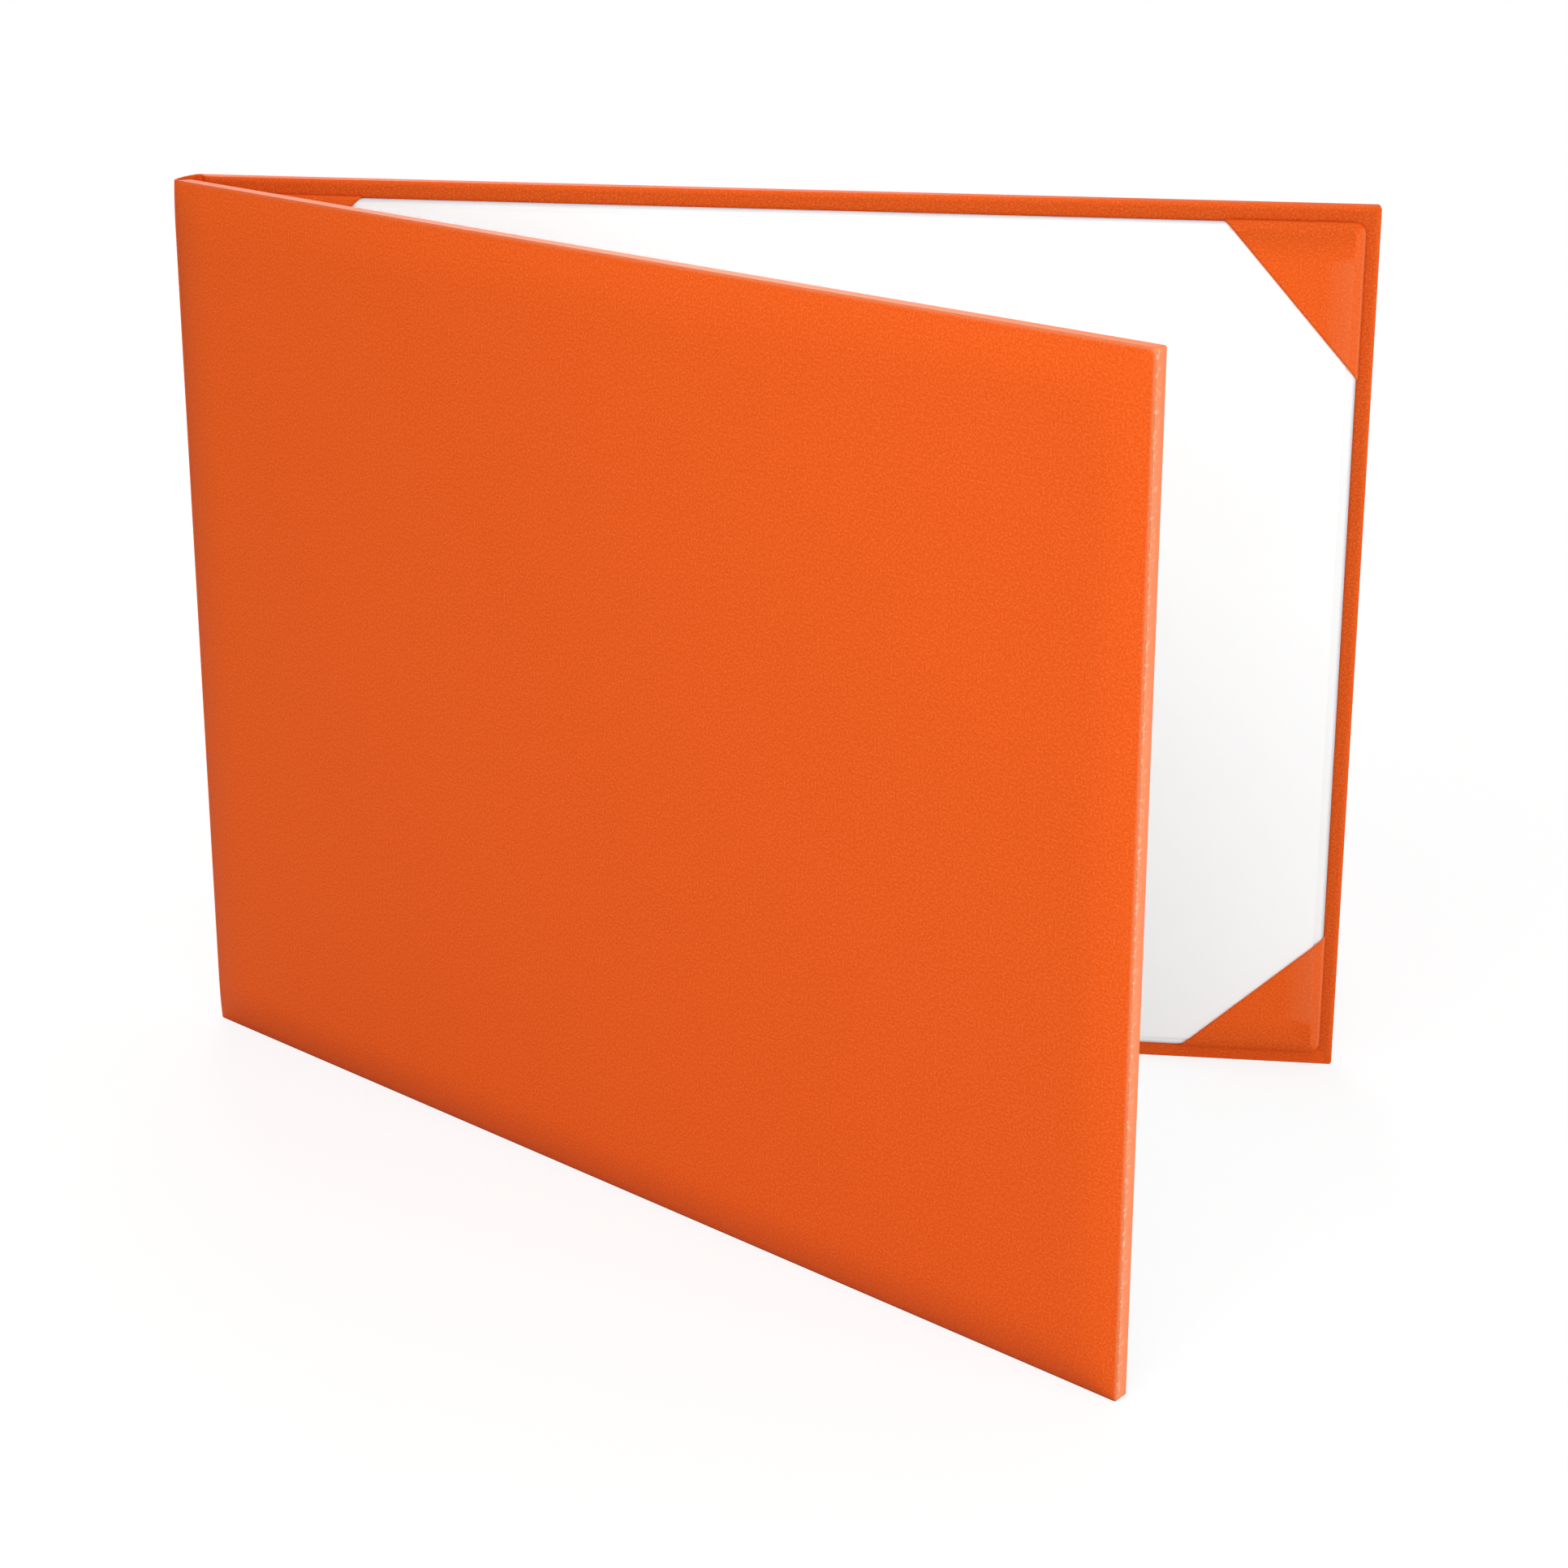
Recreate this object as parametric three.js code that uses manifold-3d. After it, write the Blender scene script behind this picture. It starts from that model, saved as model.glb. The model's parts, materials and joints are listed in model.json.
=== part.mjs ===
// Padded diploma cover, standing open like a book on the bottom edges of its two boards.
// Millimetres, +Z up. The back cover faces -Y, with the spine at its left end.
// Every cover is drawn in its own axes: x runs from the spine fold to the free edge, z up,
// and depth runs from the outer face of the leatherette towards the inside of the book.

import * as THREE from 'three';
import { mergeVertices } from 'three/addons/utils/BufferGeometryUtils.js';
import Module from 'manifold-3d';

const wasm = await Module();
wasm.setup();

// The sheet that the cover is made for, and the white liner that shows round it
const sheetWidth = 279.4;
const sheetHeight = 215.9;
const sheetThickness = 0.2;
const linerSideAllowance = 2.6;
const linerEndAllowance = 2.05;
const linerThickness = 1.0;
const linerEdgeMargin = 4.0;
const linerTopMargin = 4.4;
const linerBottomMargin = 4.2;
const linerSpineMargin = 8.0;
const linerCornerRadius = 0.5;
const linerEdgeSoftness = 0.4;
const frontLiningThickness = 0.6;

// Covers
const openingAngle = 33.7;
const wrapThickness = 0.45;
const boardThickness = 2.0;
const padEdgeThickness = 0.7;
const padCrown = 1.6;
const padShoulder = 16;
const edgeRoll = 0.4;
const cornerRadius = 0.9;
const insideEdgeRadius = 0.3;
const turnInWidth = 17;
const mitreSlit = 0.25;
const mitreDepth = 0.2;
const pasteGap = 0.1;

// Spine
const closedClearance = 0.45;
const foldGap = 0.4;
const spineArch = 0.8;
const boardSetback = 2.2;
const spineLiningThickness = 0.35;
const spineLiningSetback = 3.5;
const spineLiningEndGap = 0.8;

// Corner pieces, each measured along the liner's level edge and along its upright edge
const cornerLeather = 0.35;
const cornerLip = 8;
const topOuterLevelLeg = 33.4;
const topOuterUprightLeg = 38.1;
const bottomOuterLevelLeg = 36.0;
const bottomOuterUprightLeg = 32.4;
const spineSideLeg = 35.0;

// Curve steps
const cornerSteps = 4;
const crownSteps = 8;
const archSteps = 10;

// Radius of a corner that is cut square, and how far a cutting body reaches past its piece
const squareCorner = 0.01;
const overcut = 1;

// A cover is the liner and its margins
const coverWidth = linerSpineMargin + sheetWidth + 2 * linerSideAllowance + linerEdgeMargin;
const coverHeight = linerBottomMargin + sheetHeight + 2 * linerEndAllowance + linerTopMargin;

// Depths of the layers, from the outer face inwards
const padDepth = wrapThickness + pasteGap;
const boardDepth = padDepth + padEdgeThickness + pasteGap;
const turnInDepth = boardDepth + boardThickness + pasteGap;
const coverThickness = turnInDepth + wrapThickness;
const lipDepth = coverThickness + pasteGap;
const linerDepth = lipDepth + cornerLeather + pasteGap;
const sheetDepth = linerDepth + linerThickness + pasteGap;
const cornerDepth = sheetDepth + sheetThickness + pasteGap;
const backStack = cornerDepth + cornerLeather;
const frontStack = coverThickness + pasteGap + frontLiningThickness;

// The spine strip is as wide as the closed book, measured between the two folds
const spineWidth = backStack + frontStack + closedClearance - wrapThickness;
const foldDepth = wrapThickness / 2;
const halfOpening = THREE.MathUtils.degToRad(openingAngle / 2);

// Colours
const leatherette = { color: '#e4581e', roughness: 0.62, metalness: 0 };
const greyboard = { color: '#8d8577', roughness: 0.95, metalness: 0 };
const foam = { color: '#e8e3d2', roughness: 1, metalness: 0 };
const whiteCard = { color: '#f6f6f4', roughness: 0.85, metalness: 0 };
const whitePaper = { color: '#ffffff', roughness: 0.8, metalness: 0 };

// Closed loop of a rounded rectangle, with as many points whatever its radius
function roundedRectangle({ left, right, bottom, top }, radius) {
  const centres = [
    [right - radius, top - radius],
    [left + radius, top - radius],
    [left + radius, bottom + radius],
    [right - radius, bottom + radius],
  ];
  return centres.flatMap(([x, z], quarter) => {
    const arc = [];
    for (let step = 0; step <= cornerSteps; step++) {
      const angle = (quarter + step / cornerSteps) * Math.PI / 2;
      arc.push([x + radius * Math.cos(angle), z + radius * Math.sin(angle)]);
    }
    return arc;
  });
}

function drawIn({ left, right, bottom, top }, inset) {
  return { left: left + inset, right: right - inset, bottom: bottom + inset, top: top - inset };
}

// Skins a stack of convex loops, given from the shallowest to the deepest, into a closed body
function skin(loops) {
  const count = loops[0].points.length;
  const positions = loops.flatMap(({ points, depth }) => points.flatMap(([x, z]) => [x, depth, z]));
  const faces = [];
  for (let ring = 0; ring + 1 < loops.length; ring++) {
    for (let i = 0; i < count; i++) {
      const a = ring * count + i;
      const b = ring * count + (i + 1) % count;
      faces.push(a, a + count, b, b, a + count, b + count);
    }
  }
  const last = (loops.length - 1) * count;
  for (let i = 1; i + 1 < count; i++) {
    faces.push(0, i, i + 1);
    faces.push(last, last + i + 1, last + i);
  }
  const geometry = new THREE.BufferGeometry();
  geometry.setAttribute('position', new THREE.Float32BufferAttribute(positions, 3));
  geometry.setIndex(faces);
  return geometry;
}

function plate(outline, radius, from, to) {
  const points = roundedRectangle(outline, radius);
  return skin([{ points, depth: from }, { points, depth: to }]);
}

// Plate whose face towards the inside of the book has a softened rim
function softPlate(outline, radius, from, to) {
  const loops = [{ points: roundedRectangle(outline, radius), depth: from }];
  for (let step = 0; step <= cornerSteps; step++) {
    const angle = step / cornerSteps * Math.PI / 2;
    loops.push({
      points: roundedRectangle(drawIn(outline, linerEdgeSoftness * (1 - Math.cos(angle))), radius),
      depth: to - linerEdgeSoftness * (1 - Math.sin(angle)),
    });
  }
  return skin(loops);
}

// Straight-sided body over a convex outline
function prism(points, from, to) {
  return skin([{ points, depth: from }, { points, depth: to }]);
}

function solid(geometry) {
  const bare = mergeVertices(geometry.deleteAttribute('normal').deleteAttribute('uv'));
  return new wasm.Manifold(new wasm.Mesh({
    numProp: 3,
    vertProperties: new Float32Array(bare.attributes.position.array),
    triVerts: new Uint32Array(bare.index.array),
  }));
}

function geometryOf(body) {
  const { vertProperties, triVerts } = body.getMesh();
  const geometry = new THREE.BufferGeometry();
  geometry.setAttribute('position', new THREE.Float32BufferAttribute(vertProperties, 3));
  geometry.setIndex(Array.from(triVerts));
  return geometry;
}

// Turns depth into y about the fold line: towards -Y for the back cover, +Y for the others
function facing(geometry, side) {
  geometry.translate(0, -foldDepth, 0);
  geometry.scale(1, side, 1);
  if (side < 0) {
    const { array } = geometry.index;
    for (let i = 0; i < array.length; i += 3) {
      [array[i], array[i + 1]] = [array[i + 1], array[i]];
    }
  }
  return geometry;
}

function piece(name, geometry, finish) {
  const plain = geometry.toNonIndexed();
  plain.computeVertexNormals();
  const mesh = new THREE.Mesh(plain, new THREE.MeshStandardMaterial(finish));
  mesh.name = name;
  return mesh;
}

// Outline of a cover, of which every layer is drawn in by its own thickness
const coverOutline = { left: boardSetback, right: coverWidth, bottom: 0, top: coverHeight };

// Padded outer face: it leaves the edge steeply, as tight leatherette over foam does,
// and flattens over the shoulder. Depth falls from the edge to the crown.
function paddedLoops(outline, lift) {
  const loops = [];
  for (let step = crownSteps; step >= 0; step--) {
    const share = (step / crownSteps) ** 2;
    const rise = Math.sqrt(1 - (1 - share) ** 3);
    loops.push({
      points: roundedRectangle(drawIn(outline, share * padShoulder), cornerRadius + share * padShoulder),
      depth: lift + edgeRoll - (edgeRoll + padCrown) * rise,
    });
  }
  return loops;
}

// Foam pad between the board and the leatherette, flat on the board and crowned outside
function padGeometry(outline) {
  const edge = roundedRectangle(outline, cornerRadius);
  return skin([...paddedLoops(outline, padDepth), { points: edge, depth: padDepth + padEdgeThickness }]);
}

// Leatherette skin: over the pad, round three edges and turned in on the inside of the board.
// At the spine it runs on as a flat strip to the fold.
function wrapGeometry() {
  const outside = paddedLoops(coverOutline, 0);
  for (let step = 0; step <= cornerSteps; step++) {
    const angle = step / cornerSteps * Math.PI / 2;
    const inset = insideEdgeRadius * (1 - Math.cos(angle));
    outside.push({
      points: roundedRectangle(drawIn(coverOutline, inset), cornerRadius),
      depth: coverThickness - insideEdgeRadius * (1 - Math.sin(angle)),
    });
  }
  const cavityOutline = drawIn(coverOutline, wrapThickness);
  const cavity = skin([
    ...paddedLoops(cavityOutline, wrapThickness),
    { points: roundedRectangle(cavityOutline, cornerRadius), depth: turnInDepth },
  ]);
  const beyond = coverThickness + overcut;
  const toBoard = boardSetback + wrapThickness + edgeRoll;
  const toFold = { left: foldGap, right: toBoard, bottom: 0, top: coverHeight };
  const joint = { left: 0, right: toFold.right, bottom: -overcut, top: coverHeight + overcut };
  const window = {
    left: 0,
    right: coverWidth - turnInWidth,
    bottom: turnInWidth,
    top: coverHeight - turnInWidth,
  };
  let body = solid(skin(outside))
    .add(solid(plate(toFold, squareCorner, 0, wrapThickness)))
    .subtract(solid(cavity))
    .subtract(solid(plate(joint, squareCorner, wrapThickness, beyond)))
    .subtract(solid(plate(window, cornerRadius, turnInDepth - pasteGap, beyond)));
  for (const upright of [-1, 1]) {
    body = body.subtract(solid(mitreGeometry(upright)));
  }
  return geometryOf(body);
}

// Shallow diagonal seam where two turn-ins meet at a free corner
function mitreGeometry(upright) {
  const half = mitreSlit / Math.SQRT2 / 2;
  const end = turnInWidth + cornerRadius;
  const points = [[half, -half], [end + half, end - half], [end - half, end + half], [-half, half]];
  const turned = points.map(([inX, inZ]) => [
    coverWidth - inX,
    upright > 0 ? coverHeight - inZ : inZ,
  ]);
  const ordered = upright > 0 ? turned : turned.reverse();
  return prism(ordered, coverThickness - mitreDepth, coverThickness + overcut);
}

// Hinge flap: the hinge lining runs on from the spine over the inside of each cover
// and ends at the edge of the liner. It bends at the fold, where it is parted here.
function hingeFlap(name, side) {
  const outline = {
    left: boardSetback,
    right: linerSpineMargin - cornerLeather - 2 * pasteGap,
    bottom: spineLiningSetback,
    top: coverHeight - spineLiningSetback,
  };
  const from = coverThickness + pasteGap;
  const flap = plate(outline, linerCornerRadius, from, from + spineLiningThickness);
  return piece(`${name}_hinge_flap`, facing(flap, side), leatherette);
}

function cover(name, side) {
  const inner = drawIn(coverOutline, wrapThickness + pasteGap);
  const group = new THREE.Group();
  group.add(
    piece(`${name}_wrap`, facing(wrapGeometry(), side), leatherette),
    piece(`${name}_pad`, facing(padGeometry(inner), side), foam),
    piece(
      `${name}_board`,
      facing(plate(inner, cornerRadius, boardDepth, boardDepth + boardThickness), side),
      greyboard,
    ),
    hingeFlap(name, side),
  );
  return group;
}

// White panel behind the sheet, a margin smaller than the cover all round
const linerOutline = {
  left: linerSpineMargin,
  right: coverWidth - linerEdgeMargin,
  bottom: linerBottomMargin,
  top: coverHeight - linerTopMargin,
};

// Leatherette corner: a triangle over the sheet, folded round both edges of the liner
// and glued down behind it with a narrow lip. The sheet slides in under the diagonal edge.
function cornerGeometry({ level, upright, levelLeg, uprightLeg }) {
  const fold = cornerLeather + pasteGap;
  const cornerX = level > 0 ? linerOutline.right : linerOutline.left;
  const cornerZ = upright > 0 ? linerOutline.top : linerOutline.bottom;
  const slope = uprightLeg / levelLeg;
  const place = ([along, down]) => [cornerX - level * along, cornerZ - upright * down];
  const wound = (points) => (level * upright > 0 ? points.map(place) : points.map(place).reverse());
  // Triangle over the corner, with its two folded edges drawn in by the inset
  const triangle = (inset) => {
    const edge = inset - fold;
    const points = [[levelLeg - edge / slope, edge]];
    for (let step = 0; step <= cornerSteps; step++) {
      const angle = step / cornerSteps * Math.PI / 2;
      points.push([
        edge + cornerRadius * (1 - Math.sin(angle)),
        edge + cornerRadius * (1 - Math.cos(angle)),
      ]);
    }
    return [...points, [edge, uprightLeg - edge * slope]];
  };
  const loops = [{ points: wound(triangle(0)).reverse(), depth: lipDepth }];
  for (let step = 0; step <= cornerSteps; step++) {
    const angle = step / cornerSteps * Math.PI / 2;
    loops.push({
      points: wound(triangle(linerEdgeSoftness * (1 - Math.cos(angle)))).reverse(),
      depth: backStack - linerEdgeSoftness * (1 - Math.sin(angle)),
    });
  }
  const inner = drawIn(linerOutline, -pasteGap);
  const lipInside = [
    [levelLeg, cornerLip],
    [cornerLip, cornerLip],
    [cornerLip, uprightLeg],
    [levelLeg, uprightLeg],
  ];
  const body = solid(skin(loops))
    .subtract(solid(plate(inner, linerCornerRadius, linerDepth - pasteGap, cornerDepth)))
    .subtract(solid(prism(wound(lipInside).reverse(), lipDepth - overcut, linerDepth)));
  return geometryOf(body);
}

function backInside() {
  const sheetSide = (linerOutline.left + linerOutline.right) / 2;
  const sheetMiddle = (linerOutline.bottom + linerOutline.top) / 2;
  const sheetOutline = {
    left: sheetSide - sheetWidth / 2,
    right: sheetSide + sheetWidth / 2,
    bottom: sheetMiddle - sheetHeight / 2,
    top: sheetMiddle + sheetHeight / 2,
  };
  const corners = {
    corner_top_outer: { level: 1, upright: 1, levelLeg: topOuterLevelLeg, uprightLeg: topOuterUprightLeg },
    corner_bottom_outer: {
      level: 1, upright: -1, levelLeg: bottomOuterLevelLeg, uprightLeg: bottomOuterUprightLeg,
    },
    corner_top_spine: { level: -1, upright: 1, levelLeg: spineSideLeg, uprightLeg: spineSideLeg },
    corner_bottom_spine: { level: -1, upright: -1, levelLeg: spineSideLeg, uprightLeg: spineSideLeg },
  };
  const group = new THREE.Group();
  group.add(
    piece(
      'liner_board',
      facing(softPlate(linerOutline, linerCornerRadius, linerDepth, linerDepth + linerThickness), -1),
      whiteCard,
    ),
    piece(
      'certificate_sheet',
      facing(plate(sheetOutline, linerCornerRadius, sheetDepth, sheetDepth + sheetThickness), -1),
      whitePaper,
    ),
  );
  for (const [name, sizes] of Object.entries(corners)) {
    group.add(piece(name, facing(cornerGeometry(sizes), -1), leatherette));
  }
  return group;
}

function frontLining() {
  const from = coverThickness + pasteGap;
  return piece(
    'front_lining',
    facing(softPlate(linerOutline, linerCornerRadius, from, from + frontLiningThickness), 1),
    whiteCard,
  );
}

// Arched band between two offsets from the outer face of the spine, clear of the folds
function archBand(from, to, endGap) {
  const outer = [];
  const inner = [];
  for (let step = 0; step <= archSteps; step++) {
    const share = step / archSteps;
    const x = THREE.MathUtils.lerp(endGap, spineWidth - endGap, share);
    const arch = spineArch * Math.sin(Math.PI * x / spineWidth);
    outer.push(new THREE.Vector2(x, from - arch));
    inner.push(new THREE.Vector2(x, to - arch));
  }
  return new THREE.Shape([...outer, ...inner.reverse()]);
}

function band(shape, bottom, top) {
  const geometry = new THREE.ExtrudeGeometry(shape, { depth: top - bottom, bevelEnabled: false });
  return geometry.translate(0, -foldDepth, bottom);
}

// Spine strip: leatherette between the two folds, doubled inwards at head and tail
function spineStrip() {
  const flapFrom = wrapThickness + pasteGap;
  const flapTo = flapFrom + wrapThickness;
  const flap = archBand(flapFrom, flapTo, spineLiningEndGap);
  const bend = archBand(wrapThickness / 2, flapTo, spineLiningEndGap);
  const body = solid(band(archBand(0, wrapThickness, foldGap), 0, coverHeight))
    .add(solid(band(flap, 0, turnInWidth)))
    .add(solid(band(bend, 0, wrapThickness)))
    .add(solid(band(flap, coverHeight - turnInWidth, coverHeight)))
    .add(solid(band(bend, coverHeight - wrapThickness, coverHeight)));
  return piece('spine_strip', geometryOf(body), leatherette);
}

// Hinge lining: a second strip of leatherette pasted inside the spine, over the turn-ins
function spineLining() {
  const from = 2 * (wrapThickness + pasteGap);
  const shape = archBand(from, from + spineLiningThickness, spineLiningEndGap);
  const strip = band(shape, spineLiningSetback, coverHeight - spineLiningSetback);
  return piece('spine_lining', geometryOf(solid(strip)), leatherette);
}

// The back cover stands along X. The spine hangs on its fold, and the front cover on the
// spine's other fold, so that each fold takes half of the opening angle.
const frontCover = cover('front', 1);
frontCover.add(frontLining());
frontCover.position.set(spineWidth, 0, 0);
frontCover.rotation.z = Math.PI / 2 - halfOpening;

const spine = new THREE.Group();
spine.add(spineStrip(), spineLining(), frontCover);
spine.rotation.z = -Math.PI / 2 - halfOpening;

const diplomaCover = new THREE.Group();
diplomaCover.add(cover('back', -1), backInside(), spine);

// The origin is under the middle of the standing cover, on the surface that it stands on
diplomaCover.updateMatrixWorld(true);
const extent = new THREE.Box3().setFromObject(diplomaCover, true);
const middle = extent.getCenter(new THREE.Vector3());
diplomaCover.position.set(-middle.x, -middle.y, -extent.min.z);

export default diplomaCover;
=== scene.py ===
import json
import math

import bmesh
import bpy
import numpy as np
from mathutils import Matrix, Vector


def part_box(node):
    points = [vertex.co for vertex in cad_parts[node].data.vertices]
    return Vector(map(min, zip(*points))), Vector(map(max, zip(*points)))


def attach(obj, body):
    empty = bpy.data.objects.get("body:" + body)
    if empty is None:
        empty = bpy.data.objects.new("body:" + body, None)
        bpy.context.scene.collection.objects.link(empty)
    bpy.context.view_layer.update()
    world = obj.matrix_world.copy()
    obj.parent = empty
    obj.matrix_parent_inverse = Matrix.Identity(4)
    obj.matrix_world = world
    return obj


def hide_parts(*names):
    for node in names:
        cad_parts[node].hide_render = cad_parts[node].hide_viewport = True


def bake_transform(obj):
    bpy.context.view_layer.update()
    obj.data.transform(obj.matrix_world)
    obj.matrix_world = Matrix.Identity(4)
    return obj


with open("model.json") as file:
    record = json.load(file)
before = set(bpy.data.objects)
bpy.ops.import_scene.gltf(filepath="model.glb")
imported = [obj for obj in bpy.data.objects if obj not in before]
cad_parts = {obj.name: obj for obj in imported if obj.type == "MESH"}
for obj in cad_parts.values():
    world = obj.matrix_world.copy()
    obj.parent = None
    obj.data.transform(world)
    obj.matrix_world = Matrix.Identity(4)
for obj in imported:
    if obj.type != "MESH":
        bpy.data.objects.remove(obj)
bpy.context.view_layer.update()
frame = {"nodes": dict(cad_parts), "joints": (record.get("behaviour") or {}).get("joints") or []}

# Fold lines
# The cover bends along two upright folds, one at each side of its spine. Every piece below is
# drawn from them: along a cover from its fold to its free edge, and in depth towards the inside.

MM = 0.001
joints = {joint["name"]: joint for joint in frame["joints"]}
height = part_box("back_wrap")[1].z
wrap_thickness = 0.45 * MM
fold_depth = wrap_thickness / 2


def fold_line(joint):
    """Where a fold's upright axis stands on the floor."""
    x, y, _ = joints[joint]["pos_m"]
    return np.array([x, y])


class Leaf:
    """One flat stretch of the book: a place on it is a distance from its fold and a depth."""

    def __init__(self, fold, along, inward):
        self.fold = fold
        self.along = along
        self.inward = inward

    def at(self, distance, depth):
        distance = np.asarray(distance, float)[..., None]
        depth = np.asarray(depth, float)[..., None]
        return self.fold + distance * self.along + (depth - fold_depth) * self.inward


back_fold = fold_line("back_fold")
front_fold = fold_line("front_fold")
spine_width = float(np.linalg.norm(front_fold - back_fold))
spine_along = (front_fold - back_fold) / spine_width
half_opening = math.atan2(-spine_along[0], -spine_along[1])
opening = 2 * half_opening

back_leaf = Leaf(back_fold, np.array([1.0, 0.0]), np.array([0.0, -1.0]))
front_leaf = Leaf(
    front_fold,
    np.array([math.cos(opening), -math.sin(opening)]),
    np.array([math.sin(opening), math.cos(opening)]),
)
spine_inward = np.array([math.cos(half_opening), -math.sin(half_opening)])
spine_from_back = Leaf(back_fold, spine_along, spine_inward)
spine_from_front = Leaf(front_fold, -spine_along, spine_inward)
cover_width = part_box("back_wrap")[1].x - back_fold[0]


# Leatherette finish
# Thin vinyl on a cloth back, embossed with a fine matte grain and dyed orange. Painted light is mixed
# into its colour: a painted highlight with painted glints along the edges of a board, and painted
# shade on the turn-ins inside and along the underside.


def new_group(name, inputs, outputs):
    """Shader node group with named number and colour sockets."""
    group = bpy.data.node_groups.new(name, "ShaderNodeTree")
    for label, kind, value in inputs:
        socket = group.interface.new_socket(name=label, in_out="INPUT", socket_type=kind)
        socket.default_value = value
    for label, kind in outputs:
        group.interface.new_socket(name=label, in_out="OUTPUT", socket_type=kind)
    ends = [group.nodes.new("NodeGroupInput"), group.nodes.new("NodeGroupOutput")]
    return group, ends[0], ends[1]


def add_node(tree, kind, settings=None, **inputs):
    """Node with its settings, and with its sockets set to a value or fed by another socket."""
    node = tree.nodes.new("ShaderNode" + kind)
    for name, value in (settings or {}).items():
        setattr(node, name, value)
    for name, value in inputs.items():
        socket = node.inputs[int(name[1:])] if name[0] == "_" else node.inputs[name.replace("_", " ")]
        if isinstance(value, bpy.types.NodeSocket):
            tree.links.new(value, socket)
        else:
            socket.default_value = value
    return node


def math_node(tree, operation, first, second=0.0, clamp=False):
    settings = {"operation": operation, "use_clamp": clamp}
    return add_node(tree, "Math", settings, _0=first, _1=second).outputs[0]


def mix_colour(tree, share, first, second):
    settings = {"data_type": "RGBA"}
    return add_node(tree, "Mix", settings, _0=share, _6=first, _7=second).outputs[2]


def noise(tree, place, scale, detail=2.0, roughness=0.5):
    node = add_node(
        tree, "TexNoise", None, Vector=place, Scale=scale, Detail=detail, Roughness=roughness,
    )
    return node.outputs["Fac"]


FLOAT, COLOUR, VECTOR = "NodeSocketFloat", "NodeSocketColor", "NodeSocketVector"


def grain_group():
    """Embossed grain: pebbles with fine creases between them, specks of gloss and uneven dye.

    Painted light above zero pales the colour as a painted highlight, and near one it adds painted
    glints. Below zero it darkens the colour as painted shade.
    """
    dusty_dye = (0.98, 0.26, 0.09, 1.0)
    # The next two colours are a painted highlight and painted glints.
    highlight_orange = (0.98, 0.38, 0.19, 1.0)
    glint_colour = (1.0, 0.66, 0.48, 1.0)
    group, given, result = new_group(
        "embossed_grain",
        [
            ("Place", VECTOR, (0.0, 0.0, 0.0)),
            ("Dye", COLOUR, (0.8, 0.1, 0.02, 1.0)),
            ("Pebbles per metre", FLOAT, 1500.0),
            ("Unevenness", FLOAT, 0.3),
            ("Painted light", FLOAT, 0.0),
        ],
        [("Colour", COLOUR), ("Roughness", FLOAT), ("Height", FLOAT)],
    )
    place, dye, pebbles, uneven, light_paint = (given.outputs[i] for i in range(5))
    cells = add_node(group, "TexVoronoi", {"feature": "F1"}, Vector=place, Scale=pebbles)
    fine = noise(group, place, math_node(group, "MULTIPLY", pebbles, 1.9), 3.0, 0.6)
    mottle = noise(group, place, math_node(group, "MULTIPLY", pebbles, 0.8), 2.0, 0.65)
    broad = noise(group, place, 9.0, 3.0, 0.55)
    pebble = math_node(group, "SUBTRACT", 1.0, cells.outputs["Distance"])
    height = math_node(group, "ADD", pebble, math_node(group, "MULTIPLY", fine, 0.7))
    speck = math_node(group, "SUBTRACT", mottle, 0.5)
    patch = math_node(group, "MULTIPLY", math_node(group, "SUBTRACT", broad, 0.5), 0.22)
    shade = math_node(group, "MULTIPLY", math_node(group, "ADD", speck, patch), uneven)
    # Painted shade: below zero, the colour is darkened.
    painted_shade = math_node(group, "MULTIPLY", math_node(group, "MINIMUM", light_paint, 0.0), 0.2)
    shade = math_node(group, "ADD", shade, painted_shade)
    value = math_node(group, "ADD", 1.0, shade)
    tone = add_node(group, "HueSaturation", None, Value=value, Color=dye)
    dust = math_node(group, "MULTIPLY", math_node(group, "ADD", speck, 0.06), 3.2)
    dusty = math_node(group, "MULTIPLY", dust, uneven, clamp=True)
    tone = mix_colour(group, dusty, tone.outputs[0], dusty_dye)
    # Painted highlight: above zero, the colour pales towards a lighter orange.
    highlight_share = math_node(group, "MULTIPLY", light_paint, 0.66)
    lit_tone = mix_colour(group, highlight_share, tone, highlight_orange)
    # Painted glints: pale specks where the painted light is near one.
    edge = math_node(group, "MULTIPLY", math_node(group, "SUBTRACT", light_paint, 0.85), 7.0, clamp=True)
    glint_noise = noise(group, place, math_node(group, "MULTIPLY", pebbles, 0.35), 3.0, 0.7)
    glint = math_node(group, "MULTIPLY", math_node(group, "SUBTRACT", glint_noise, 0.53), 11.0, clamp=True)
    pale = math_node(group, "MULTIPLY", glint, math_node(group, "MULTIPLY", edge, 0.6))
    colour = mix_colour(group, pale, lit_tone, glint_colour)
    rough = math_node(group, "ADD", 0.6, math_node(group, "MULTIPLY", speck, 0.3))
    rough = math_node(group, "SUBTRACT", rough, math_node(group, "MULTIPLY", light_paint, 0.08))
    group.links.new(colour, result.inputs["Colour"])
    group.links.new(rough, result.inputs["Roughness"])
    group.links.new(height, result.inputs["Height"])
    return group


embossed_grain = grain_group()


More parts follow.
